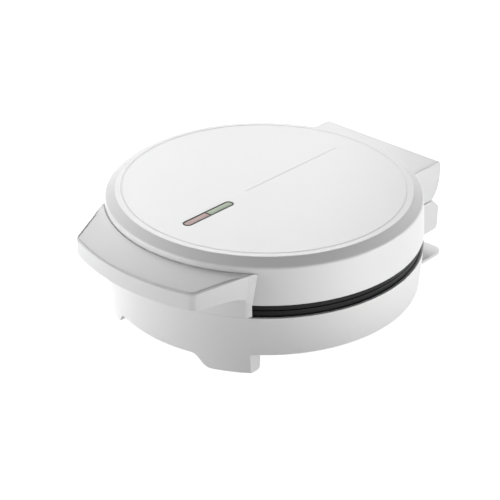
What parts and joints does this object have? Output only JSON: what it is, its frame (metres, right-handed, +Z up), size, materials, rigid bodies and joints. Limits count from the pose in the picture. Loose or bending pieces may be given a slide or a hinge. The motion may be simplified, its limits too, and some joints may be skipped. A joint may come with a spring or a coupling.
{
  "type": "wafer maker",
  "caption": "Round electric wafer maker: two hinged halves with dark cooking plates, a wide front handle, an indicator window in the lid and a rear foot for winding the cord.",
  "frame": {"origin": "on the table, under the centre of the bounding box, on the axis of the round halves", "axes": "+Z up, -Y towards the handle at the front, +Y towards the hinge at the back, +X to the right of someone who faces the handle"},
  "size_m": [0.2104, 0.2544, 0.0796],
  "materials": {
    "white_plastic": "satin moulded",
    "disc_plastic": "smooth satin",
    "coated_casting": "dark non-stick coating",
    "element_sheath": "heat-dulled",
    "shield_metal": "bright pressed sheet",
    "zinc_steel": "zinc plated",
    "soft_pad": "matte",
    "dark_frame": "satin",
    "red_lens": "translucent",
    "green_lens": "translucent",
    "lamp_glass": "clear",
    "ceramic": "matte",
    "sleeve": "woven"
  },
  "bodies": {
    "base": {"base_shell": "white_plastic", "base_hinge_housing": "white_plastic", "cord_wrap_foot": "white_plastic", "cord_inlet_bush": "soft_pad", "foot_pad_front_left": "soft_pad", "foot_pad_front_right": "soft_pad", "foot_pad_rear_left": "soft_pad", "foot_pad_rear_right": "soft_pad", "lower_plate": "coated_casting", "lower_heater": "element_sheath", "lower_reflector": "shield_metal", "thermostat": "ceramic", "thermal_fuse": "ceramic", "terminal_block": "ceramic", "base_lead": "sleeve", "hinge_pin_left": "zinc_steel", "base_hinge_screw_left": "zinc_steel", "wrap_foot_screw_left": "zinc_steel", "hinge_pin_right": "zinc_steel", "base_hinge_screw_right": "zinc_steel", "wrap_foot_screw_right": "zinc_steel", "lower_reflector_screw": "zinc_steel", "lower_plate_screw_1": "zinc_steel", "lower_plate_screw_2": "zinc_steel", "lower_plate_screw_3": "zinc_steel"},
    "lid": {"lid_shell": "white_plastic", "lid_top_disc": "disc_plastic", "indicator_bezel": "dark_frame", "indicator_lens_red": "red_lens", "indicator_lens_green": "green_lens", "lamp_holder": "ceramic", "neon_lamp_red": "lamp_glass", "neon_lamp_green": "lamp_glass", "handle": "white_plastic", "handle_under_cover": "white_plastic", "lid_hinge_housing": "white_plastic", "upper_plate": "coated_casting", "upper_heater": "element_sheath", "upper_reflector": "shield_metal", "lid_lead": "sleeve", "handle_screw_left": "zinc_steel", "handle_cover_screw_left": "zinc_steel", "lid_hinge_screw_left": "zinc_steel", "handle_screw_right": "zinc_steel", "handle_cover_screw_right": "zinc_steel", "lid_hinge_screw_right": "zinc_steel", "upper_reflector_screw": "zinc_steel", "upper_plate_screw_1": "zinc_steel", "upper_plate_screw_2": "zinc_steel", "upper_plate_screw_3": "zinc_steel"}
  },
  "joints": [
    {"name": "lid_hinge", "type": "hinge", "parent": "base", "child": "lid", "pos_m": [0, 0.1198, 0.0425], "axis": [-1, 0, 0], "range_deg": [0, 100]}
  ]
}
